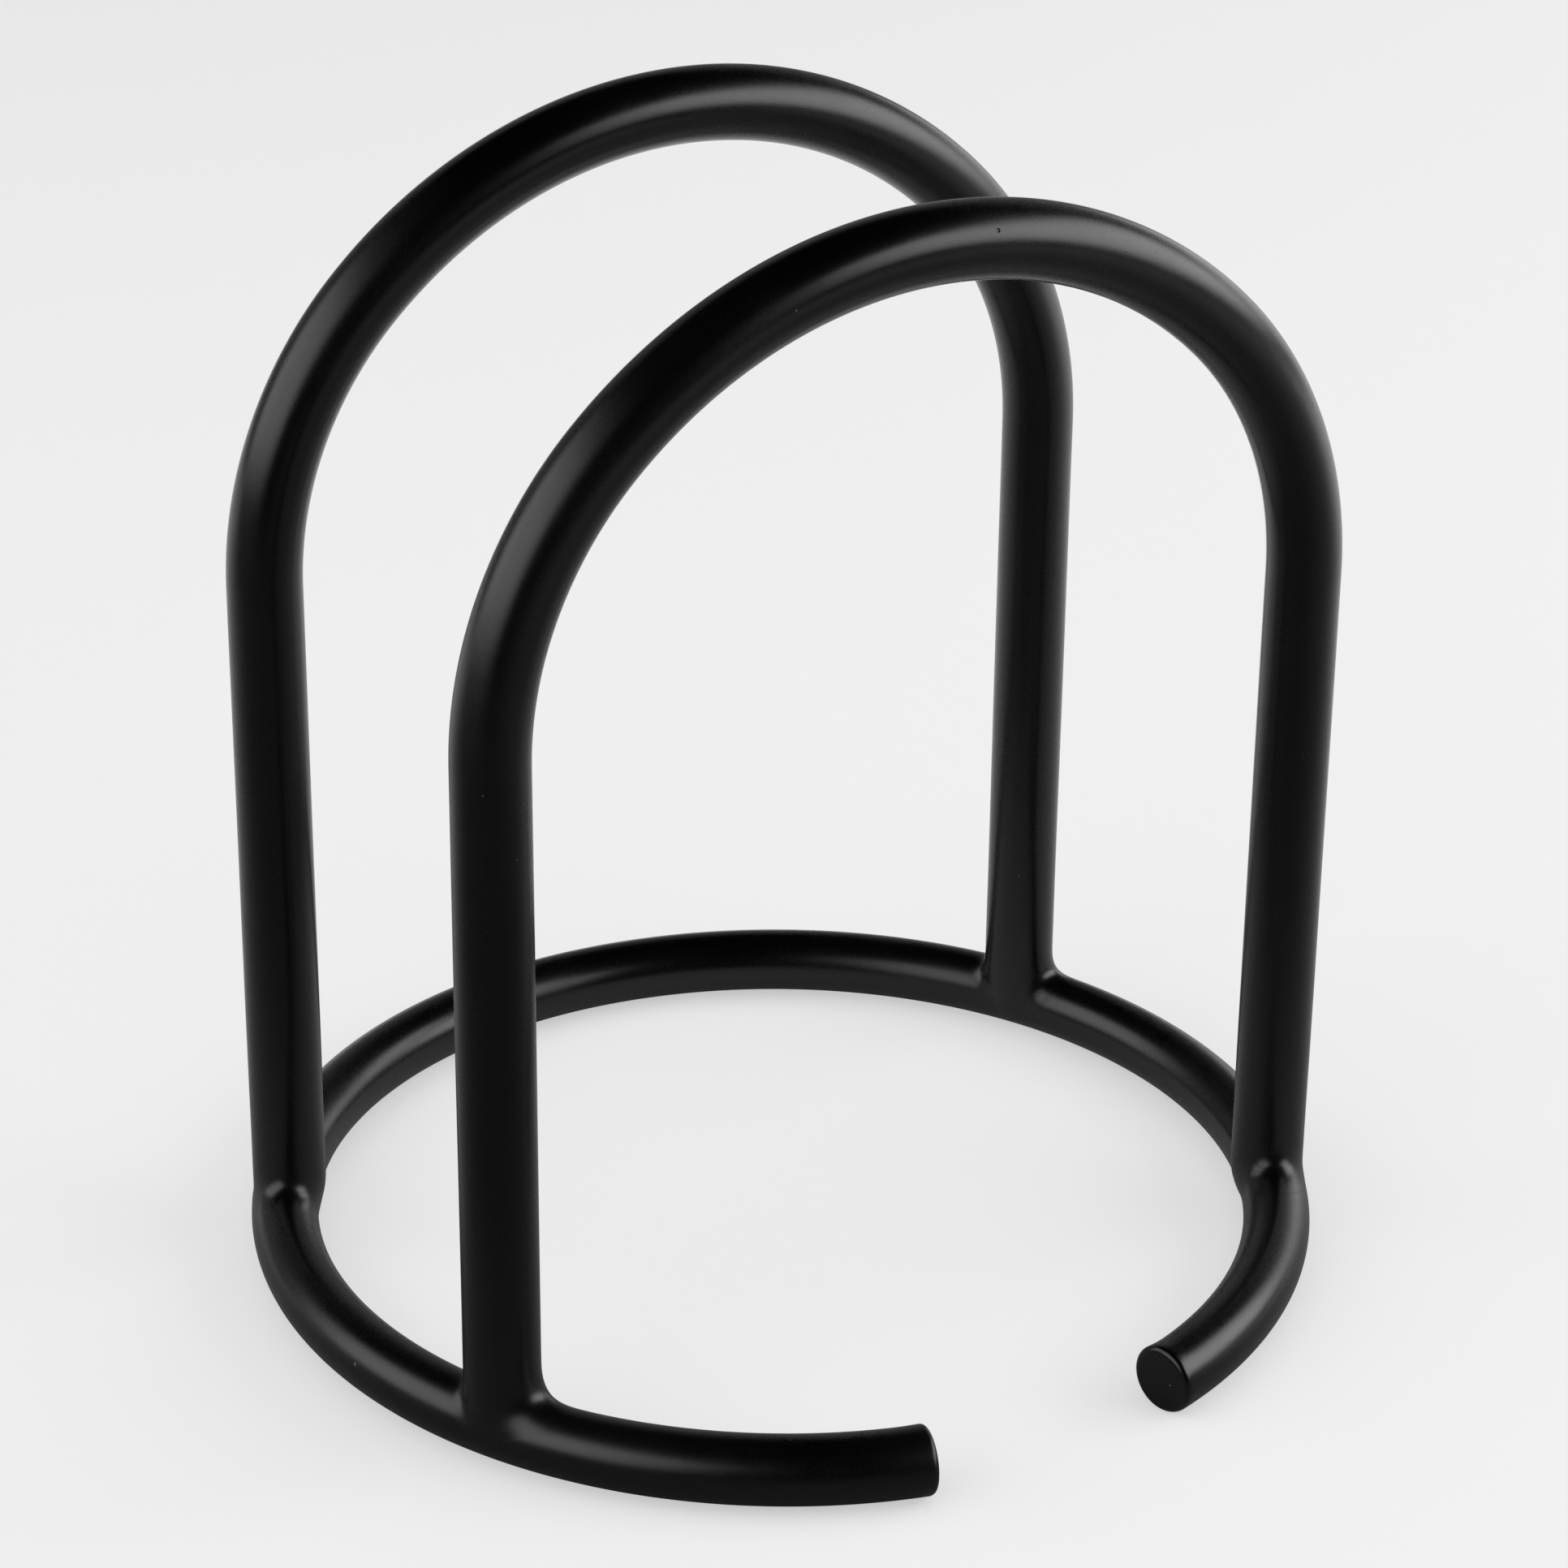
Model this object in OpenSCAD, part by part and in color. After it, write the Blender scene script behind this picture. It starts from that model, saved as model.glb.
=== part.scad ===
// Countertop stand of bent round steel bar: an open base hoop that lies flat, and two arches in
// parallel upright planes whose legs are welded on top of it.
// Frame: +Z up, the floor at z = 0, the origin at the hoop's centre on the floor.
// The hoop's gap faces -Y, and the arches span along X.

/* [Base hoop] */
// Radius of the hoop, from its centre to the middle of the bar
hoop_r = 55; // [53:0.5:60]
// Diameter of the bar that the hoop is bent from
hoop_bar_d = 7.3; // [6.8:0.1:7.8]
// Gap between the hoop's two ends, as an angle at its centre
hoop_gap_angle = 30; // [16:1:50]
// Rounding of the rim at each cut end, made as a small bevel
end_bevel = 0.4; // [0.2:0.1:0.8]

/* [Arches] */
// Diameter of the bar that the arches are bent from
arch_bar_d = 8; // [7.8:0.1:8.6]
// Height of the stand, from the floor to the top of the arches
stand_h = 126; // [105:1:140]
// Radius of the two corner bends of an arch, to the middle of the bar
corner_r = 41.4; // [38:0.1:44]
// Radius of the flatter crown between them, to the middle of the bar
crown_r = 51.1; // [46:0.1:54]
// How far the legs stand in from the middle of the hoop's bar, towards its centre
leg_inset = 0.6; // [0.3:0.1:0.8]

/* [Welds] */
// Radius of the hollow fillet on the side of each leg that faces the front
front_fillet_r = 3; // [1.5:0.1:4]
// Radius of the hollow fillet on the side of each leg that faces the back
back_fillet_r = 1.2; // [0.8:0.1:3]
// How deep the hoop's top beds into a leg's cut end
leg_sink = 0.8; // [0.6:0.1:1.2]

/* [Hidden] */
$fn = 240;
coat = [0.12, 0.12, 0.125];
bead_coat = [0.2, 0.2, 0.21];

hoop_bar_r = hoop_bar_d / 2;
arch_bar_r = arch_bar_d / 2;

// Arch outline: each corner bend turns 45 degrees and the crown 90, so all of them are tangent
corner_sweep = 45;
crown_sweep = 2 * (90 - corner_sweep);
corner_out = crown_r - corner_r;
crown_z = stand_h - arch_bar_r - crown_r;
shoulder_z = crown_z + corner_out * sin(corner_sweep);

// A leg's axis, from the middle of the stand
leg_r = hoop_r - leg_inset;
leg_x = corner_r + corner_out * cos(corner_sweep);
leg_y = sqrt(leg_r * leg_r - leg_x * leg_x);
leg_end_z = hoop_bar_d - leg_sink;

// Weld metal: every edge of it dips a little below the surface of the bar that it meets
dip = 0.1;
bead_r = 0.9 * hoop_bar_r;
collar_lap = 0.4;
collar_foot_z = hoop_bar_r / 2;
collar_foot_r = 0.62 * arch_bar_r;
// Half of the hoop's stretch that a weld is shaped against
foot_stretch = 30;

// Angle along the hoop between a leg and the place a given distance from the leg's axis
function hoop_step(reach) =
    acos((hoop_r * hoop_r + leg_r * leg_r - reach * reach) / (2 * hoop_r * leg_r));

// Heading from a leg's axis to that place, measured from the hoop's outward direction
function heading(reach) =
    atan2(hoop_r * sin(hoop_step(reach)), hoop_r * cos(hoop_step(reach)) - leg_r);

// Place of a foot round the hoop
function foot_angle(side_x, side_y) = atan2(side_y * leg_y, side_x * leg_x);

// Stretch of the hoop's bar, resting on the floor
module hoop_bar(start, sweep) {
    translate([0, 0, hoop_bar_r])
        rotate_extrude(angle = sweep, start = start)
            translate([hoop_r, 0])
                circle(r = hoop_bar_r);
}

// Stretch of the hoop's bar under one foot
module hoop_under(side_x, side_y) {
    hoop_bar(foot_angle(side_x, side_y) - foot_stretch, 2 * foot_stretch);
}

// Ring that bevels the rim of a cut end: the end's flat face is at z = 0 and looks along +Z
module rim_cutter() {
    past = 0.3;
    rotate_extrude()
        polygon([
            [hoop_bar_r - end_bevel - past, past],
            [hoop_bar_r + past, -end_bevel - past],
            [hoop_bar_r + end_bevel + past, past]
        ]);
}

// Bend of the arch bar in the XZ plane
module bend(radius, start, sweep) {
    rotate([90, 0, 0])
        rotate_extrude(angle = sweep, start = start)
            translate([radius, 0])
                circle(r = arch_bar_r);
}

// Corner bend and the leg below it. The local X axis runs from the crown's centre to the place
// where the crown ends and the corner bend starts, and the bend turns away from +Z.
module limb() {
    translate([corner_out, 0, 0]) {
        bend(corner_r, -corner_sweep, corner_sweep);
        rotate([0, corner_sweep, 0])
            translate([corner_r, 0, leg_end_z - shoulder_z])
                cylinder(r = arch_bar_r, h = shoulder_z - leg_end_z);
    }
}

// Arch of one bar, with its cut ends bedded over the hoop
module arch(side_y) {
    color(coat)
        difference() {
            translate([0, side_y * leg_y, crown_z])
                rotate([0, -corner_sweep, 0]) {
                    bend(crown_r, 0, crown_sweep);
                    limb();
                    rotate([0, -crown_sweep, 0])
                        mirror([0, 0, 1])
                            limb();
                }
            hoop_under(-1, side_y);
            hoop_under(1, side_y);
        }
}

// Quarter bend of weld metal that comes down the leg and runs out along the hoop.
// way is 1 or -1, the sense round the hoop; the hollow side has radius fillet_r.
module fillet(way, fillet_r) {
    reach = arch_bar_r + fillet_r - dip;
    rotate([0, 0, way * heading(reach)])
        translate([reach, 0, hoop_bar_d - dip + fillet_r])
            rotate([90, 0, 0])
                rotate_extrude(angle = 90, start = 180)
                    translate([fillet_r + bead_r, 0])
                        circle(r = bead_r);
}

// Weld bead round one foot: a tapered collar, and a fillet on each side along the hoop
module weld(side_x, side_y) {
    color(bead_coat)
        difference() {
            rotate([0, 0, foot_angle(side_x, side_y)])
                translate([leg_r, 0, 0]) {
                    translate([0, 0, collar_foot_z])
                        cylinder(
                            r1 = collar_foot_r,
                            r2 = arch_bar_r - dip,
                            h = leg_end_z + collar_lap - collar_foot_z
                        );
                    fillet(-side_x, front_fillet_r);
                    fillet(side_x, back_fillet_r);
                }
            hoop_under(side_x, side_y);
            translate([side_x * leg_x, side_y * leg_y, leg_end_z])
                cylinder(r = arch_bar_r, h = shoulder_z - leg_end_z);
        }
}

// Open hoop with two cut ends
module base_hoop() {
    color(coat)
        difference() {
            hoop_bar(hoop_gap_angle / 2 - 90, 360 - hoop_gap_angle);
            for (side = [-1, 1])
                rotate([0, 0, side * hoop_gap_angle / 2 - 90])
                    translate([hoop_r, 0, hoop_bar_r])
                        rotate([side * 90, 0, 0])
                            rim_cutter();
        }
}

module front_arch() {
    arch(-1);
}

module rear_arch() {
    arch(1);
}

module weld_front_left() {
    weld(-1, -1);
}

module weld_front_right() {
    weld(1, -1);
}

module weld_rear_left() {
    weld(-1, 1);
}

module weld_rear_right() {
    weld(1, 1);
}

base_hoop();
front_arch();
rear_arch();
weld_front_left();
weld_front_right();
weld_rear_left();
weld_rear_right();
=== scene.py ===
# %% [markdown]
# # A mug stand of bent black bar
#
# The stand is three round steel bars: an open hoop that lies flat, and two arches that stand on it.
# Four small welds join them, and one black powder coat covers everything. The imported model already
# fixes every size and place. This lesson gives each piece the surface that the real one has: smooth
# bent bar, rounded cut ends, hollow weld fillets, and a coat with a fine grain and a satin shine.
#
# The bars are plain in outline, so the picture depends on smooth curvature, on how a weld flows into
# the bars, and on soft light. Each piece below is one surface worked out with numpy.

# %% Load the fixed frame
import math

import bpy
import numpy as np
from mathutils import Matrix, Vector


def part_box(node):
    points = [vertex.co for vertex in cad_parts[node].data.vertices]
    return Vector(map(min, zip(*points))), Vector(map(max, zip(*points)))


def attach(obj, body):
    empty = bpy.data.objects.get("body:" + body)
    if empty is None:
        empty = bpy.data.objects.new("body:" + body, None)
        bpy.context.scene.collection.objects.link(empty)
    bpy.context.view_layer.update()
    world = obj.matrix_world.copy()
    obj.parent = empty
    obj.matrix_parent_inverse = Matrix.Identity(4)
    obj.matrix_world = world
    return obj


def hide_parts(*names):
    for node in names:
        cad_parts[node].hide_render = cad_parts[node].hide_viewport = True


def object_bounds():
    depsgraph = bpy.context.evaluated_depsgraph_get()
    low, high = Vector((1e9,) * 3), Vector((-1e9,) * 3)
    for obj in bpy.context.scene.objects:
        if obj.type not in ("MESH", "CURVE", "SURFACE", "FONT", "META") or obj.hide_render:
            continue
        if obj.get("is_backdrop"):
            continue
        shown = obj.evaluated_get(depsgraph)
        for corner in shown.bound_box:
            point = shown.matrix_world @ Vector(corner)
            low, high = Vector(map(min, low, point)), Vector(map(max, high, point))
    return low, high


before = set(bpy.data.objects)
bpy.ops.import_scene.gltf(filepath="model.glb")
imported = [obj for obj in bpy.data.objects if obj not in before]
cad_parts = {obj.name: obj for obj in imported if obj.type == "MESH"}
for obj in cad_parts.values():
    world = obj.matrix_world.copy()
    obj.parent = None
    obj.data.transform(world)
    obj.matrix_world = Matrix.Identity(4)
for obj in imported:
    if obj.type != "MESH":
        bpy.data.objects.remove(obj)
cad_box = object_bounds()
print("nodes:", sorted(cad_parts))

# %% [markdown]
# ## Sizes, read from the frame
#
# The hoop's bar and radius, the arches' bar, their planes and their height all come from the boxes
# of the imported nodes. Only the bend that shapes an arch's corner is stated here, because a box
# can't tell it. The crown's radius then follows, since the arcs meet without a kink.

# %% Sizes in metres
MM = 0.001


def node_box(name):
    """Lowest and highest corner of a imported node, as two arrays."""
    low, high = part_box(name)
    return np.array(low), np.array(high)


hoop_low, hoop_high = node_box("base_hoop")
arch_low, arch_high = node_box("rear_arch")

hoop_bar_r = (hoop_high[2] - hoop_low[2]) / 2
hoop_r = hoop_high[0] - hoop_bar_r
hoop_top = hoop_high[2]
arch_bar_r = (arch_high[1] - arch_low[1]) / 2
leg_x = arch_high[0] - arch_bar_r
leg_y = (arch_low[1] + arch_high[1]) / 2

corner_r = 41.4 * MM
corner_turn = math.radians(45)
crown_r = corner_r + (leg_x - corner_r) / math.cos(corner_turn)
crown_z = arch_high[2] - arch_bar_r - crown_r
shoulder_z = crown_z + (crown_r - corner_r) * math.sin(corner_turn)
foot_r = math.hypot(leg_x, leg_y)

gap_half_angle = math.radians(15)
rim_r = 0.65 * MM

print("hoop radius %.2f mm, bar %.2f mm" % (hoop_r / MM, 2 * hoop_bar_r / MM))
print("arch bar %.2f mm, legs at x %.2f, y %.2f mm" % (2 * arch_bar_r / MM, leg_x / MM, leg_y / MM))
print("crown radius %.2f mm, shoulder height %.2f mm" % (crown_r / MM, shoulder_z / MM))

# %% [markdown]
# ## Camera first
#
# The camera stands in front, a little to the left and above, with a long lens. A long lens from half
# a metre keeps the uprights almost parallel, as in a catalogue picture. Its place is given by an
# azimuth, an elevation and a distance from the point that it looks at.

# %% Camera
CAMERA_AZIMUTH = -31.26
CAMERA_ELEVATION = 25.74
CAMERA_ROLL = 0.60
CAMERA_DISTANCE = 507.5 * MM
CAMERA_LENS = 106.85
CAMERA_AIM = Vector((4.84, 8.24, 49.31)) * MM


def direction(azimuth, elevation):
    """Unit vector from the stand towards a place seen at that azimuth and elevation, in degrees.
    Azimuth 0 is the front, -Y, and 90 is the right, +X."""
    a, e = math.radians(azimuth), math.radians(elevation)
    return Vector((math.sin(a) * math.cos(e), -math.cos(a) * math.cos(e), math.sin(e)))


def add_camera():
    """Camera that looks at the aim point, turned about its own axis by the small roll."""
    back = direction(CAMERA_AZIMUTH, CAMERA_ELEVATION)
    level_right = Vector((0, 0, 1)).cross(back).normalized()
    level_up = back.cross(level_right)
    roll = math.radians(CAMERA_ROLL)
    right = level_right * math.cos(roll) + level_up * math.sin(roll)
    up = level_up * math.cos(roll) - level_right * math.sin(roll)
    data = bpy.data.cameras.new("catalogue_camera")
    data.lens = CAMERA_LENS
    data.clip_start = 0.01
    camera = bpy.data.objects.new("catalogue_camera", data)
    bpy.context.collection.objects.link(camera)
    turn = Matrix((right, up, back)).transposed().to_4x4()
    camera.matrix_world = Matrix.Translation(CAMERA_AIM + back * CAMERA_DISTANCE) @ turn
    bpy.context.scene.camera = camera
    return camera


camera = add_camera()
print("camera at", [round(v / MM) for v in camera.location], "mm")

# %% [markdown]
# ## From a grid of points to a mesh
#
# Every piece is a grid: rows of points along the piece, columns of points around it. The columns
# always close on themselves. The rows either close too, as in a ring of weld metal, or end in a flat
# face, as in a cut bar. The faces are worked out from the grid's numbers in one step, and a signed
# volume tells whether they look outwards.


# %% Mesh builder
def grid_faces(rows, columns, rows_close):
    """Corner numbers of every four-sided face of a grid whose columns close on themselves."""
    last_row = rows if rows_close else rows - 1
    row, column = np.meshgrid(np.arange(last_row), np.arange(columns), indexing="ij")
    next_row = (row + 1) % rows
    next_column = (column + 1) % columns
    corners = (row, column), (row, next_column), (next_row, next_column), (next_row, column)
    return np.stack([(r * columns + c).ravel() for r, c in corners], axis=1)


def signed_volume(points, quads):
    """Sum over the faces of the volume between each face and the origin: above zero faces outwards."""
    a, b, c, d = (points[quads[:, k]] for k in range(4))
    whole = np.einsum("ij,ij->i", a, np.cross(b, c)) + np.einsum("ij,ij->i", a, np.cross(c, d))
    return whole.sum() / 6


def grid_piece(name, grid, rows_close=False, sharp_rows=()):
    """A smooth mesh from a grid of points shaped rows by columns by 3. Open rows get a flat face at
    each end. Edges that run along the rows named in sharp_rows keep a crisp shade."""
    rows, columns, _ = grid.shape
    points = grid.reshape(-1, 3)
    quads = grid_faces(rows, columns, rows_close)
    inside_out = signed_volume(points, quads) < 0
    if inside_out:
        quads = quads[:, ::-1]
    faces = quads.tolist()
    if not rows_close:
        first = np.arange(columns)
        last = first + (rows - 1) * columns
        ends = (first[::-1], last) if not inside_out else (first, last[::-1])
        faces += [end.tolist() for end in ends]
    mesh = bpy.data.meshes.new(name)
    mesh.from_pydata(points.tolist(), [], faces)
    mesh.shade_smooth()
    if len(sharp_rows):
        ends = np.empty(len(mesh.edges) * 2, dtype=np.int32)
        mesh.edges.foreach_get("vertices", ends)
        edge_rows = ends.reshape(-1, 2) // columns
        same_row = edge_rows[:, 0] == edge_rows[:, 1]
        sharp = same_row & np.isin(edge_rows[:, 0], sharp_rows)
        attribute = mesh.attributes.new("sharp_edge", "BOOLEAN", "EDGE")
        attribute.data.foreach_set("value", sharp)
    mesh.validate()
    piece = bpy.data.objects.new(name, mesh)
    bpy.context.collection.objects.link(piece)
    size = np.ptp(points, axis=0) / MM
    print("%s: %d faces, %.1f by %.1f by %.1f mm" % (name, len(faces), *size))
    return piece


# %% [markdown]
# ## A bar with cut ends
#
# Real bar is cropped to length, and the sharp edge is taken off before coating, so a cut end has a
# flat face inside a small round rim. The same few rings of points finish both ends: the rim goes
# through a quarter turn, and the face then runs in towards the middle, a hair proud of flat because
# the coat gathers there.


# %% Rings of a cut end
AROUND = 112
FACE_CROWN = 0.03 * MM
FACE_MIDDLE = 0.06


def cut_end_rings(bar_r, edge_r, rim_steps=9, face_steps=7):
    """Distance back from the tip and radius of each ring, from the start of the rim to the middle
    of the face: a quarter circle of radius edge_r, then a disc with a slight crown."""
    turn = np.linspace(0, np.pi / 2, rim_steps)
    rim_back = edge_r * (1 - np.sin(turn)) + FACE_CROWN
    rim_radius = bar_r - edge_r + edge_r * np.cos(turn)
    inward = np.linspace(1, FACE_MIDDLE, face_steps)[1:]
    face_radius = (bar_r - edge_r) * inward
    face_back = FACE_CROWN * inward**2
    return np.concatenate([rim_back, face_back]), np.concatenate([rim_radius, face_radius])


end_back, end_radius = cut_end_rings(hoop_bar_r, rim_r)
print("a cut end has", len(end_back), "rings")

# %% [markdown]
# ## The base hoop
#
# The hoop is a bar bent round a former to a circle and cut short of meeting itself. Its surface is a
# torus with the angle round the hoop on one axis of the grid and the angle round the bar on the
# other. Bending leaves faint waves along a bar, a few hundredths of a millimetre deep, which is what
# keeps a long highlight from looking ruled. Cropping the bar has swollen its ends on the upper inner
# side, the right-hand one more than the left.

# %% Waves and swollen ends
SLOW_WAVE, QUICK_WAVE = 17 * MM, 7.3 * MM
SLOW_DEPTH, QUICK_DEPTH = 0.014 * MM, 0.006 * MM
HOOP_RINGS = 700
RIGHT_SWELLING, LEFT_SWELLING = 0.20 * MM, 0.06 * MM
SWELLING_REACH = 1.9 * MM
SWELLING_TURN = np.radians(125)
HOOP_WAVE_PHASE = 0.4


def bent_wave(distance, phase):
    """Slow change in the bar's radius along its length: two sine waves that never repeat together."""
    slow = np.sin(distance / SLOW_WAVE + phase)
    quick = np.sin(distance / QUICK_WAVE + 2.3 * phase)
    return SLOW_DEPTH * slow + QUICK_DEPTH * quick


print("bend waves up to %.3f mm deep" % ((SLOW_DEPTH + QUICK_DEPTH) / MM))


# %% Base hoop
def hoop_rings():
    """Angle round the hoop and bar radius at each ring, end to end: even steps along the bent
    stretch, with the rings of a cut end before and after it."""
    first = -np.pi / 2 + gap_half_angle
    last = 3 * np.pi / 2 - gap_half_angle
    body_start = first + end_back[0] / hoop_r
    body_end = last - end_back[0] / hoop_r
    body = np.linspace(body_start, body_end, HOOP_RINGS)[1:-1]
    angle = np.concatenate([first + end_back[::-1] / hoop_r, body, last - end_back / hoop_r])
    body_radius = np.full(len(body), hoop_bar_r)
    radius = np.concatenate([end_radius[::-1], body_radius, end_radius])
    return angle, radius


def hoop_surface(angle, turn, radius):
    """Point at an angle round the hoop and a turn round the bar: out from the hoop's centre by its
    radius plus radius times cos(turn), and up by radius times sin(turn)."""
    out = hoop_r + radius * np.cos(turn)
    up = hoop_bar_r + radius * np.sin(turn)
    return np.stack([out * np.cos(angle), out * np.sin(angle), up + 0 * angle], axis=-1)


def make_base_hoop():
    """The hoop's grid. Each ring's radius is the bar's, plus the wave times how far the point faces
    up, so that the bar lies flat on the table, plus a swelling that fades as a bell curve of the
    distance from its end. Neither reaches the cut faces."""
    angle, radius = hoop_rings()
    right_end = np.exp(-((hoop_r * (angle - angle[0]) / SWELLING_REACH) ** 2))
    left_end = np.exp(-((hoop_r * (angle[-1] - angle) / SWELLING_REACH) ** 2))
    full_bar = np.clip((radius / hoop_bar_r - 0.8) / 0.2, 0, 1)
    wave = bent_wave(angle * hoop_r, HOOP_WAVE_PHASE) * full_bar
    swelling = (RIGHT_SWELLING * right_end + LEFT_SWELLING * left_end) * full_bar
    turn = np.linspace(0, 2 * np.pi, AROUND, endpoint=False)
    upper = (0.5 + 0.5 * np.sin(turn))[None, :]
    inner_upper = np.clip(np.cos(turn - SWELLING_TURN), 0, 1)[None, :] ** 2
    ring = radius[:, None] + wave[:, None] * upper + swelling[:, None] * inner_upper
    return grid_piece("base_hoop_bar", hoop_surface(angle[:, None], turn[None, :], ring))


base_hoop_bar = make_base_hoop()

# %% [markdown]
# ## The arches
#
# Each arch is one bar. Seen from the front, a leg rises straight, a tight bend turns it inwards by
# 45 degrees, and a flatter crown carries it over to the other side. The line is written once, as a
# function of the distance from the top of the crown, and the other half mirrors it. The bar's
# sections are circles square to that line.
#
# A leg's foot is hidden in the weld, so there the bar narrows quickly instead of ending in a face
# that could show through.


# %% Line of an arch
crown_length = crown_r * (np.pi / 2 - corner_turn)
corner_length = corner_r * corner_turn


def arch_line(distance):
    """Place and slope of the arch's middle line at a signed distance along it from the crown's top.
    t is how far the line has turned from level. The crown and the corner are arcs about their own
    centres, and the leg drops straight down."""
    d = np.abs(distance)
    in_corner = np.clip((d - crown_length) / corner_r, 0, corner_turn)
    t = np.minimum(d, crown_length) / crown_r + in_corner
    down = np.clip(d - crown_length - corner_length, 0, None)
    on_crown = d <= crown_length
    x = np.where(on_crown, crown_r * np.sin(t), leg_x - corner_r + corner_r * np.sin(t))
    z = np.where(on_crown, crown_z + crown_r * np.cos(t), shoulder_z + corner_r * np.cos(t)) - down
    return np.sign(distance) * x, z, np.sign(distance) * t


def arch_surface(distance, turn, radius, plane_y):
    """Point at a distance along the arch and a turn round the bar: from the middle line, out of the
    arch by radius times cos(turn), and back, along +Y, by radius times sin(turn)."""
    x, z, t = arch_line(distance)
    out = radius * np.cos(turn)
    return np.stack(
        [x + out * np.sin(t), plane_y + radius * np.sin(turn) + 0 * x, z + out * np.cos(t)], axis=-1
    )


# %% Arch pieces
ARCH_RINGS = 800
LEG_STOP_Z = hoop_top + 0.35 * MM
LEG_NARROWS = 0.9 * MM
TIP_LOSS = 0.45
WAVE_ENDS, WAVE_FADE = 12 * MM, 6 * MM


def make_arch(name, plane_y, phase):
    """One arch bar, from foot to foot. Its radius is the bar's plus the wave, which fades out above
    the welds. Over its last stretch at each foot the bar narrows to a blunt tip inside the weld."""
    reach = crown_length + corner_length + shoulder_z - LEG_STOP_Z
    body = np.linspace(-reach, reach, ARCH_RINGS)
    tip = np.linspace(0, 1, 7)[1:]
    distance = np.concatenate([-reach - LEG_NARROWS * tip[::-1], body, reach + LEG_NARROWS * tip])
    share = np.clip((np.abs(distance) - reach) / LEG_NARROWS, 0, 1)
    near_foot = np.clip((np.abs(distance) - reach + WAVE_ENDS) / WAVE_FADE, 0, 1)
    narrowed = arch_bar_r * (1 - TIP_LOSS * share**0.7)
    radius = narrowed + bent_wave(distance, phase) * (1 - near_foot)
    turn = np.linspace(0, 2 * np.pi, AROUND, endpoint=False)
    return grid_piece(name, arch_surface(distance[:, None], turn[None, :], radius[:, None], plane_y))


front_arch_bar = make_arch("front_arch_bar", -leg_y, 1.1)
rear_arch_bar = make_arch("rear_arch_bar", leg_y, 2.7)

# %% [markdown]
# ## The welds
#
# Each foot is welded all round and ground smooth, so the leg flows into the hoop. Along the hoop the
# metal makes a hollow fillet, larger on the side that faces the front. Across the hoop, where leg
# and hoop are nearly as wide as each other, it only smooths a small step.
#
# Merging the bars with a boolean and beveling the seam would leave an uneven strip of faces. Here
# the shape is first described as a field: a number for every point in space that is below zero in
# the metal and zero on its skin. The fields of leg and hoop are blended over a chosen width. Then a
# grid of short rays, fanned out from the bars' middle lines, finds where the field is zero. The
# skin that they find joins both bars with no kink. Under the skin, the bead closes on itself through
# the inside of the bars, so that it is one solid piece.

# %% Weld settings
# The bead lies SKIN proud of the bars, so that the two surfaces never flicker through each other.
SKIN = 0.004 * MM
LEG_END_STARTS = 7.6 * MM
LEG_END_LENGTH = 9.5 * MM
# Blend width on the flanks, and how quickly it gives way to the wider blend in front and behind.
SIDE_BLEND = 1.1 * MM
BLEND_FADE = 1.6
FLANK_LOSS = 0.75
# The bead's edge lies where the blend has just run out.
BLEND_ROOM = 1.05
OUTER_SPAN = math.radians(86)
INNER_SPAN = math.radians(122)
WELD_AROUND = 240
WELD_STEPS = 48
RAY_REACH = 9 * MM
HALVINGS = 34
RIPPLE = 0.010 * MM
HOOP_TUCK, LEG_TUCK = 0.9 * MM, 1.2 * MM
TUCK_STEPS = 5


def unit(v):
    """The same directions at length 1."""
    return v / np.linalg.norm(v, axis=-1, keepdims=True)


# %% Field of a welded foot
def leg_field(points, foot):
    """Distance from a leg's skin. Below LEG_END_STARTS the leg narrows as half an ellipse, and its
    middle moves outwards by as much, so the outer side stays upright, flush with the hoop, and only
    the overhang on the inner side is ground back."""
    drop = np.clip(LEG_END_STARTS - points[..., 2], 0, 0.9 * LEG_END_LENGTH)
    radius = arch_bar_r * np.sqrt(1 - (drop / LEG_END_LENGTH) ** 2)
    middle = 1 + (arch_bar_r - radius) / foot_r
    return np.hypot(points[..., 0] - foot[0] * middle, points[..., 1] - foot[1] * middle) - radius


def hoop_field(points):
    """Distance from the hoop's skin: how far a point is from the hoop's middle circle, less the
    bar's radius."""
    out = np.hypot(points[..., 0], points[..., 1]) - hoop_r
    return np.hypot(out, points[..., 2] - hoop_bar_r) - hoop_bar_r


def weld_field(points, foot, width):
    """Smooth minimum of the distances to leg and hoop: the nearer one, less width/6 times the cube
    of (1 - difference/width) where the two differ by less than width. Powder coat rounds a corner
    in the same way, tightest in the middle and easing out with no edge."""
    to_leg = leg_field(points, foot)
    to_hoop = hoop_field(points)
    closeness = np.clip(1 - np.abs(to_leg - to_hoop) / width, 0, None)
    return np.minimum(to_leg, to_hoop) - width / 6 * closeness**3


def first_zero(start, way, foot, width):
    """Point on each ray where the weld field is zero, found by halving the reach again and again."""
    inside = np.zeros(start.shape[:-1])
    outside = np.full(start.shape[:-1], RAY_REACH)
    for _ in range(HALVINGS):
        middle = (inside + outside) / 2
        is_out = weld_field(start + middle[..., None] * way, foot, width) > 0
        outside = np.where(is_out, middle, outside)
        inside = np.where(is_out, inside, middle)
    return start + (inside[..., None] + SKIN) * way


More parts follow.
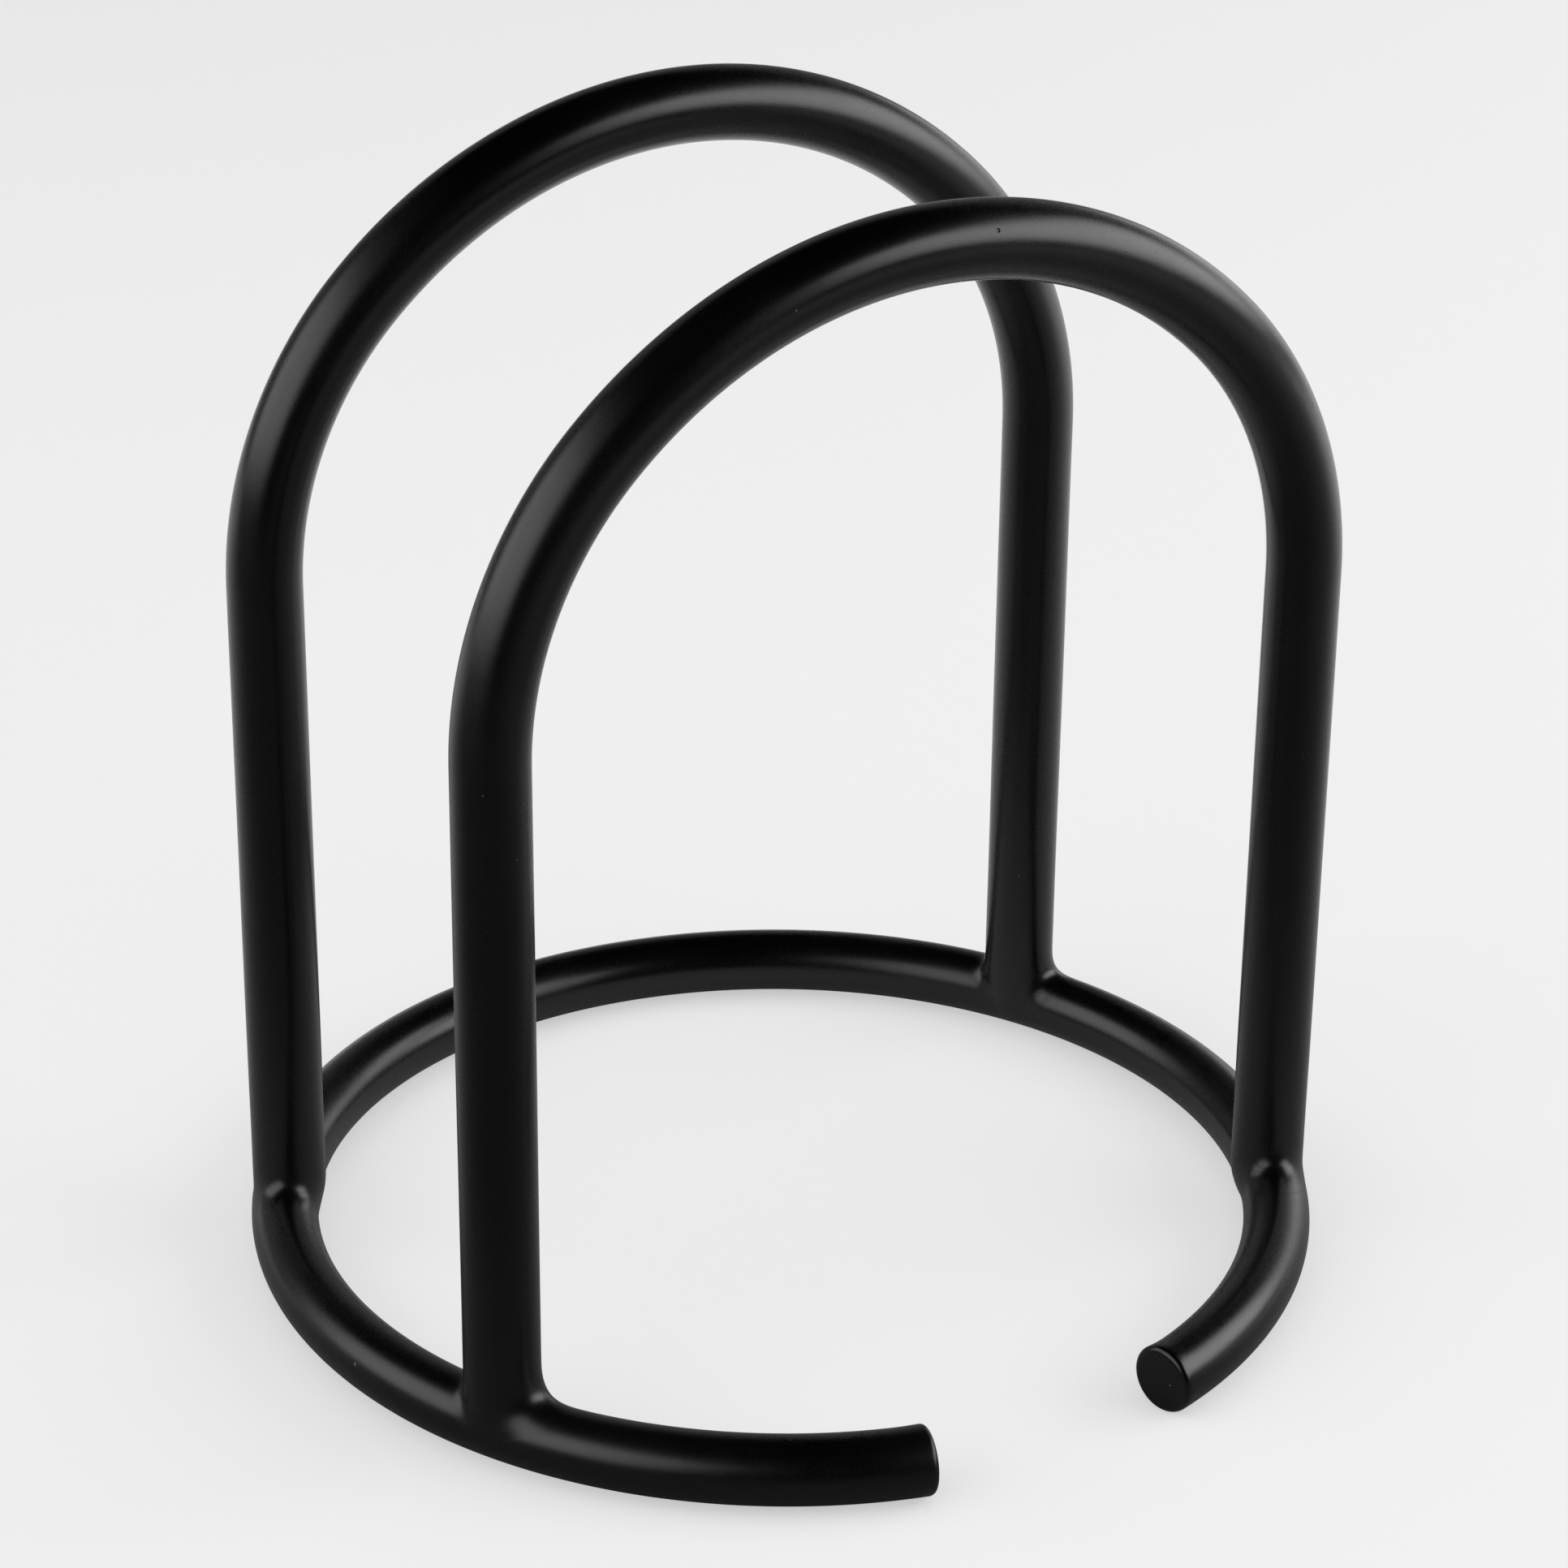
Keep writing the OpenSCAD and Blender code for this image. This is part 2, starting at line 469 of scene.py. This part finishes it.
# %% Weld bead
def make_weld(name, side_x, side_y, front_blend, back_blend, inner_proud, phase):
    """Bead round one foot. around is 0 towards the front along the hoop and a quarter turn on the
    hoop's outer side. Each column starts on the leg, above the fillet, and ends on the hoop: out by
    leg radius plus blend width in front and behind, and down both flanks. Rays start on a curve
    that bends from the leg's middle line through the joint to the hoop's, and turn from square to
    the leg to square to the hoop on the way. A faint ripple and a bulge on the inner flank, largest
    halfway down, are added to the skin. From its lower edge the grid tucks into the hoop, and goes
    back to the leg on a like curve through the joint."""
    around = np.linspace(0, 2 * np.pi, WELD_AROUND, endpoint=False)
    ahead, outwards = np.cos(around), np.sin(around)
    end_blend = np.where(ahead > 0, front_blend, back_blend)
    width = SIDE_BLEND + (end_blend - SIDE_BLEND) * np.abs(ahead) ** BLEND_FADE

    foot_angle = math.atan2(side_y * leg_y, side_x * leg_x)
    radial = np.array([math.cos(foot_angle), math.sin(foot_angle), 0])
    forward = np.array([-radial[1], radial[0], 0]) * -side_x
    foot = foot_r * radial
    leg_out = ahead[:, None] * forward + outwards[:, None] * radial
    leg_skin = foot + arch_bar_r * leg_out
    aside = np.hypot(leg_skin[:, 0], leg_skin[:, 1]) - hoop_r
    above = np.sqrt(np.clip((hoop_bar_r + BLEND_ROOM * width) ** 2 - aside**2, 0, None))
    leg_height = np.hypot(hoop_bar_r + above, LEG_END_STARTS * (1 - np.abs(ahead)))
    leg_height = np.maximum(leg_height, LEG_END_STARTS + 0.3 * MM)

    hoop_angle = foot_angle - side_x * (arch_bar_r + BLEND_ROOM * width) * ahead / hoop_r
    span = np.where(outwards > 0, OUTER_SPAN, INNER_SPAN)
    turn = np.pi / 2 - span * outwards
    hoop_middle = hoop_surface(hoop_angle, turn, 0)
    hoop_out = unit(hoop_surface(hoop_angle, turn, hoop_bar_r) - hoop_middle)
    leg_middle = np.stack([foot[0] + 0 * around, foot[1] + 0 * around, leg_height], axis=-1)

    joint = np.array([*(hoop_r * radial)[:2], hoop_bar_r])
    s = np.linspace(0, 1, WELD_STEPS)[:, None]
    t = s[..., None]
    start = (1 - t) ** 2 * leg_middle + 2 * t * (1 - t) * joint + t**2 * hoop_middle
    way = unit(leg_out * (1 - t) + hoop_out * t)
    skin = first_zero(start, way, foot, width * (1 - FLANK_LOSS * s * outwards**2))

    middle = np.sin(np.pi * s) ** 2
    inner_flank = np.clip(-outwards, 0, 1) ** 3
    ripple = np.sin(4 * around + phase + 5 * s) + 0.6 * np.sin(7 * around - 2 * phase - 3 * s)
    lift = middle * (inner_proud * inner_flank + RIPPLE * ripple)
    skin = skin + lift[..., None] * way

    hoop_core = skin[-1] - HOOP_TUCK * hoop_out
    leg_core = skin[0] - LEG_TUCK * leg_out
    tuck = np.linspace(0, 1, TUCK_STEPS + 2)[1:-1, None, None]
    back = (1 - tuck) ** 2 * hoop_core + 2 * tuck * (1 - tuck) * joint + tuck**2 * leg_core
    grid = np.concatenate([skin, hoop_core[None], back, leg_core[None]])
    return grid_piece(name, grid, rows_close=True, sharp_rows=(0, WELD_STEPS - 1))


# Side in x and y, blend width in front and behind, bulge on the inner flank, and phase of the ripple.
WELDS = {
    "weld_front_left": (-1, -1, 5.7 * MM, 1.7 * MM, 0.05 * MM, 0.3),
    "weld_front_right": (1, -1, 4.9 * MM, 2.1 * MM, 0.22 * MM, 1.9),
    "weld_rear_left": (-1, 1, 4.6 * MM, 2.2 * MM, 0.02 * MM, 3.2),
    "weld_rear_right": (1, 1, 4.2 * MM, 2.4 * MM, 0.05 * MM, 4.4),
}
weld_beads = {node: make_weld(node + "_bead", *shape) for node, shape in WELDS.items()}

# %% [markdown]
# ## Shader maths as plain expressions
#
# A powder coat is a few patterns added and multiplied together. Writing that as Python expressions
# is easier to read than a list of links, so a small class wraps a node's output and turns each
# operator into a Math node. Any other node is made by one method that takes its type, its settings
# and the values or links of its sockets.


# %% Socket class
class Signal:
    """One number-valued output in a material's node tree."""

    def __init__(self, tree, socket):
        self.tree = tree
        self.socket = socket

    def node(self, kind, settings=None, sockets=None, output=0):
        """A new node of that kind. Settings are set first, then each socket gets a value or a link."""
        made = self.tree.nodes.new(kind)
        for key, value in (settings or {}).items():
            setattr(made, key, value)
        for key, value in (sockets or {}).items():
            if isinstance(value, Signal):
                self.tree.links.new(value.socket, made.inputs[key])
            else:
                made.inputs[key].default_value = value
        return Signal(self.tree, made.outputs[output])

    def math(self, operation, *values):
        return self.node("ShaderNodeMath", {"operation": operation}, dict(enumerate(values)))

    def __add__(self, other):
        return self.math("ADD", self, other)

    __radd__ = __add__

    def __sub__(self, other):
        return self.math("SUBTRACT", self, other)

    def __rsub__(self, other):
        return self.math("SUBTRACT", other, self)

    def __mul__(self, other):
        return self.math("MULTIPLY", self, other)

    __rmul__ = __mul__

    def between(self, low, high):
        """0 below low, 1 above high, smooth in between."""
        settings = {"interpolation_type": "SMOOTHSTEP"}
        ends = {"From Min": low, "From Max": high, "To Min": 0.0, "To Max": 1.0}
        return self.node("ShaderNodeMapRange", settings, {"Value": self, **ends})


def new_material(name):
    """An empty material, its shader, and a Signal to start expressions from."""
    material = bpy.data.materials.new(name)
    material.use_nodes = True
    tree = material.node_tree
    shader = tree.nodes["Principled BSDF"]
    place = tree.nodes.new("ShaderNodeTexCoord").outputs["Object"]
    return material, shader, Signal(tree, place)


def turned(place, shift):
    """The same place in a frame that is turned and shifted, so that a noise's grid lines up with
    neither the bars nor another noise."""
    sockets = {"Vector": place, "Location": (shift, 2 * shift, 3 * shift), "Rotation": (0.6, 0.9, 0.3)}
    return place.node("ShaderNodeMapping", None, sockets)


# %% [markdown]
# ## The black powder coat
#
# Powder is sprayed on dry and baked until it flows. What is left has four scales. Slow waves and an
# orange peel of about a millimetre come from the flow. A grain of a quarter of a millimetre makes
# the shine satin. Now and then a speck of dust is baked in and stands up as a nib, or a bubble
# leaves a pit. Most of these fall at random, but the ones that catch the eye are listed one by one.
# The shine also varies: handling polishes the coat a little on the crowns, and rubs leave duller
# patches.
#
# All patterns read Object coordinates, so they run on from bar to weld with no seam. Each noise is
# first turned and shifted, because a noise is built on a grid, and where that grid lines up with a
# bar it shows as a streak.


# %% Spots at random and at known places
def spots(place, spacing, size, share, seed):
    """Mask of small round spots: cells of a Voronoi pattern, of which only a share holds a spot.
    A cell's random colour decides whether it does."""
    cells = place.tree.nodes.new("ShaderNodeTexVoronoi")
    place.tree.links.new(turned(place, seed * MM).socket, cells.inputs["Vector"])
    cells.inputs["Scale"].default_value = 1 / spacing
    near = Signal(place.tree, cells.outputs["Distance"])
    chance = place.node(
        "ShaderNodeSeparateColor", None, {"Color": Signal(place.tree, cells.outputs["Color"])}
    )
    inside = 1 - near.between(0.3 * size / spacing, size / spacing)
    return inside * chance.between(1 - share, 1 - share + 0.001)


# Place and radius in millimetres, of dust baked into the coat and of craters that bubbles left.
DUST = (
    (-7.23, 22.08, 118.86, 0.14),
    (-50.72, -28.25, 76.64, 0.14),
    (-47.59, -29.05, 69.38, 0.12),
    (-17.02, -29.07, 119.61, 0.13),
    (-57.59, -9.85, 4.89, 0.26),
    (24.91, -28.44, 118.03, 0.12),
    (45.73, 22.02, 21.61, 0.13),
)
CRATERS = (
    (5.89, -28.63, 123.56, 0.26),
    (14.56, -54.33, 3.89, 0.26),
)


def known_flaws(place, flaws):
    """Mask of spots at known places: 1 within 0.3 of the radius, and 0 from the radius outwards."""
    mask = 0.0
    for x, y, z, radius in flaws:
        ends = {0: place, 1: (x * MM, y * MM, z * MM)}
        away = place.node("ShaderNodeVectorMath", {"operation": "DISTANCE"}, ends, output="Value")
        mask = (1 - away.between(0.3 * radius * MM, radius * MM)) + mask
    return mask


print("set by hand:", len(DUST), "specks of dust and", len(CRATERS), "craters")

# %% Powder coat
SLOW_SIZE, PEEL_SIZE, GRAIN_SIZE, SMUDGE_SIZE = 14 * MM, 1.3 * MM, 0.24 * MM, 22 * MM
NIB_SIZE, NIB_SPACING = 0.16 * MM, 5.5 * MM
PIT_SIZE, PIT_SPACING = 0.2 * MM, 9.0 * MM
HANDLED_REACH = 22 * MM
BLACK = (0.0003, 0.0003, 0.0004, 1)
WORN_BLACK = (0.0011, 0.0011, 0.0012, 1)
DUST_GREY = (0.085, 0.085, 0.08, 1)


def powder_coat(name, roughness, peel_depth):
    """Black powder coat over steel. roughness is its middle value, peel_depth the orange peel's."""
    material, shader, place = new_material(name)

    def noise(size, detail=2.0, rough=0.5):
        vector = turned(place, 7.3 * size)
        sockets = {"Vector": vector, "Scale": 1 / size, "Detail": detail, "Roughness": rough}
        return place.node("ShaderNodeTexNoise", None, sockets)

    slow = noise(SLOW_SIZE, 1.0)
    peel = noise(PEEL_SIZE, 1.5)
    grain = noise(GRAIN_SIZE, 2.0, 0.7)
    smudge = noise(SMUDGE_SIZE, 4.0, 0.6)
    nibs = spots(place, NIB_SPACING, NIB_SIZE, 0.22, 3.0)
    pits_and_painted_shade = spots(place, PIT_SPACING, PIT_SIZE, 0.15, 41.0)
    dust = known_flaws(place, DUST)
    craters = known_flaws(place, CRATERS)

    height = place.node("ShaderNodeSeparateXYZ", None, {"Vector": place}, output=2)
    handled = height.between(arch_high[2] - HANDLED_REACH, arch_high[2])

    bumps = (
        slow * (5 * peel_depth)
        + peel * (0.5 * peel_depth)
        + grain * (0.45 * peel_depth)
        + nibs * (1.6 * peel_depth)
        + dust * (2.0 * peel_depth)
        - pits_and_painted_shade * (3.0 * peel_depth)
        - craters * (9.0 * peel_depth)
    )
    normal = place.node("ShaderNodeBump", None, {"Height": bumps, "Distance": 1.0})
    place.tree.links.new(normal.socket, shader.inputs["Normal"])

    shine = (
        roughness - 0.05
        + smudge.between(0.35, 0.7) * 0.07
        + (grain - 0.5) * 0.12
        - handled * 0.03
        + nibs * 0.15
    )
    place.tree.links.new(shine.socket, shader.inputs["Roughness"])

    # The tone varies at random with the smudge and the grain, and dust nibs are lighter. Pits are
    # painted darker, which is painted shade in the hollows.
    tone = smudge.between(0.3, 0.75) * 0.5 + (grain - 0.5) * 0.5 + nibs * 2.0 - pits_and_painted_shade * 0.4
    black = place.node(
        "ShaderNodeMix",
        {"data_type": "RGBA", "clamp_factor": False},
        {0: tone, 6: BLACK, 7: WORN_BLACK},
        output=2,
    )
    colour = place.node(
        "ShaderNodeMix",
        {"data_type": "RGBA"},
        {0: dust + nibs * 0.25, 6: black, 7: DUST_GREY},
        output=2,
    )
    place.tree.links.new(colour.socket, shader.inputs["Base Color"])
    shader.inputs["Specular IOR Level"].default_value = 0.5
    return material


bar_coat = powder_coat("black_powder_coat", roughness=0.30, peel_depth=0.010 * MM)
weld_coat = powder_coat("black_powder_coat_on_weld", roughness=0.32, peel_depth=0.014 * MM)
print("coats:", bar_coat.name, "and", weld_coat.name)

# %% [markdown]
# ## Fitting the pieces to the frame
#
# Every new piece rides on the one rigid body and stands for the imported node that it follows. The
# imported solids stay in the file for collision, but aren't shown.

# %% Pieces on the frame
STANDS_FOR = {
    base_hoop_bar: ("base_hoop", "bar_coat", bar_coat),
    front_arch_bar: ("front_arch", "bar_coat", bar_coat),
    rear_arch_bar: ("rear_arch", "bar_coat", bar_coat),
}
STANDS_FOR.update({bead: (node, "weld_coat", weld_coat) for node, bead in weld_beads.items()})

for piece, (node, slot, coat) in STANDS_FOR.items():
    piece.data.materials.append(coat)
    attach(piece, "root")
    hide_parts(node)
print(len(STANDS_FOR), "pieces stand for", len(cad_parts), "packed nodes")

# %% [markdown]
# ## Studio
#
# A black satin object shows its surroundings, not itself, so the studio is designed as what the bars
# will mirror. A wide soft box on the right gives the main highlight, and a low one further round
# draws the bright rims on that side. A dimmer, larger box on the left fills the other flank. The
# room is black above and behind the camera, and that leaves the deep dark bands. A wash from
# straight above brightens the floor, and is kept out of the bars' reflections.


# %% Soft edges of a light
SOFT_EDGE = 0.95
SOFT_GAIN = 1.35


def soften_edges(light_data):
    """A diffusion cloth is brightest in the middle. Each way across the box, the strength rises
    smoothly from the edge over a share of the width, and the two shares multiply. The gain makes up
    for what the edges lose."""
    light_data.use_nodes = True
    tree = light_data.node_tree
    across = Signal(tree, tree.nodes.new("ShaderNodeNewGeometry").outputs["Parametric"])
    strength = 1.0
    for axis in (0, 1):
        share = across.node("ShaderNodeSeparateXYZ", None, {"Vector": across}, output=axis)
        from_edge = share * (1 - share) * 4
        strength = from_edge.between(0.0, SOFT_EDGE) * strength
    emission = across.node("ShaderNodeEmission", None, {"Strength": strength * SOFT_GAIN})
    tree.links.new(emission.socket, tree.nodes["Light Output"].inputs["Surface"])


# %% Lights
LIGHTS_AIM = Vector((0, 0, 60 * MM))


def add_soft_box(name, azimuth, elevation, spread, radiance, distance=0.9, mirrored=True):
    """Rectangular soft light that faces the stand and covers spread degrees of its view, sideways
    and upright. Its power is radiance times pi times its area."""
    width, height = (2 * distance * math.tan(math.radians(angle) / 2) for angle in spread)
    data = bpy.data.lights.new(name, "AREA")
    data.shape = "RECTANGLE"
    data.size, data.size_y = width, height
    data.energy = radiance * math.pi * width * height
    light = bpy.data.objects.new(name, data)
    bpy.context.collection.objects.link(light)
    towards = direction(azimuth, elevation)
    light.location = LIGHTS_AIM + towards * distance
    light.rotation_mode = "QUATERNION"
    light.rotation_quaternion = towards.to_track_quat("Z", "Y")
    light.visible_camera = False
    light.visible_glossy = mirrored
    if mirrored:
        soften_edges(data)
    print("%s: %.2f by %.2f m, %.1f W" % (name, width, height, data.energy))


add_soft_box("right_soft_box", 58, 25, (80, 44), 2.85)
add_soft_box("right_rim_box", 112, 8, (48, 24), 1.0)
add_soft_box("left_soft_box", -95, 26, (98, 56), 1.6)
add_soft_box("floor_wash", 0, 90, (74, 74), 1.07, distance=1.6, mirrored=False)


# %% Floor's material
# The mirrored floor's base tone, then one line per direction in which painted light or shade changes
# it:
# azimuth, where the change starts and ends in millimetres from the middle, and by how much.
FLOOR_SHADE = 0.11
PAINTED_LIGHT_AND_SHADE_CHANGES = (
    (150, -110, 190, 0.85),
    (45, 60, 420, 0.22),
    (-20, 150, 600, -0.09),
)
SEEN_WHITE = (0.9, 0.9, 0.9, 1)
EVEN_WHITE = (0.86, 0.86, 0.86, 1)
EVEN_SHARE = 0.6


def pale_floor_material():
    """Matt floor that is near white to look at, in part lit and in part evenly bright, so that its
    far side doesn't fall into shade. The bars mirror a darker floor with painted light and shade on
    it:
    painted dim in front of the stand and brighter behind it and to its right, so the mirrored tone
    follows the place on the floor."""
    material = bpy.data.materials.new("pale_floor")
    material.use_nodes = True
    tree = material.node_tree
    tree.nodes.remove(tree.nodes["Principled BSDF"])
    place = Signal(tree, tree.nodes.new("ShaderNodeTexCoord").outputs["Object"])
    shade = FLOOR_SHADE
    # Paint light and shade into the mirrored floor's colour, one direction at a time.
    for azimuth, near, far, change in PAINTED_LIGHT_AND_SHADE_CHANGES:
        way = {0: place, 1: tuple(direction(azimuth, 0))}
        along = place.node("ShaderNodeVectorMath", {"operation": "DOT_PRODUCT"}, way, output="Value")
        shade = along.between(near * MM, far * MM) * change + shade
    mirrored = place.node("ShaderNodeBsdfDiffuse", None, {"Color": shade})
    lit = place.node("ShaderNodeBsdfDiffuse", None, {"Color": SEEN_WHITE})
    even = place.node("ShaderNodeEmission", None, {"Color": EVEN_WHITE})
    seen = place.node("ShaderNodeMixShader", None, {0: EVEN_SHARE, 1: lit, 2: even})
    to_camera = place.node("ShaderNodeLightPath", None, None, output="Is Camera Ray")
    mix = place.node("ShaderNodeMixShader", None, {0: to_camera, 1: mirrored, 2: seen})
    tree.links.new(mix.socket, tree.nodes["Material Output"].inputs["Surface"])
    return material


# %% Floor and backdrop
def add_floor():
    """Flat disc that curves up into a wall: a profile of a line, a quarter circle and a line, turned
    about the vertical axis."""
    flat, bend, wall = 2.2, 0.8, 1.6
    curve = np.linspace(0, np.pi / 2, 24)
    out = np.concatenate([[0.01, 0.5, 1.2], flat + bend * np.sin(curve), [flat + bend]])
    up = np.concatenate([[0, 0, 0], bend * (1 - np.cos(curve)), [bend + wall]])
    angle = np.linspace(0, 2 * np.pi, 96, endpoint=False)
    grid = np.stack(
        [
            out[:, None] * np.cos(angle),
            out[:, None] * np.sin(angle),
            up[:, None] + 0 * angle,
        ],
        axis=-1,
    )
    quads = grid_faces(len(out), len(angle), False)[:, ::-1].tolist()
    middle = list(range(len(angle)))
    mesh = bpy.data.meshes.new("studio_floor")
    mesh.from_pydata(grid.reshape(-1, 3).tolist(), [], [*quads, middle])
    mesh.shade_smooth()
    floor = bpy.data.objects.new("studio_floor", mesh)
    bpy.context.collection.objects.link(floor)
    floor.data.materials.append(pale_floor_material())
    floor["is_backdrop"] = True
    print("floor:", len(quads) + 1, "faces,", flat + bend, "m in radius")


add_floor()

# %% Room
ROOM_GREY = (0.004, 0.004, 0.004, 1)

scene = bpy.context.scene
scene.view_settings.view_transform = "Standard"
world = bpy.data.worlds.new("dark_room")
world.use_nodes = True
world.node_tree.nodes["Background"].inputs["Color"].default_value = ROOM_GREY
scene.world = world
print("view transform:", scene.view_settings.view_transform)

# %% [markdown]
# ## Last measures
#
# Both boxes, of the imported model and of the visual model, are printed side by side, so that the
# two can be compared. The visual model has to stay inside the imported model's box.

visual_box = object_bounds()
boxes = {
    "cad": [list(corner) for corner in cad_box],
    "visual": [list(corner) for corner in visual_box],
}
for label, (low, high) in boxes.items():
    print(label, [round((b - a) / MM, 2) for a, b in zip(low, high, strict=True)], "mm")
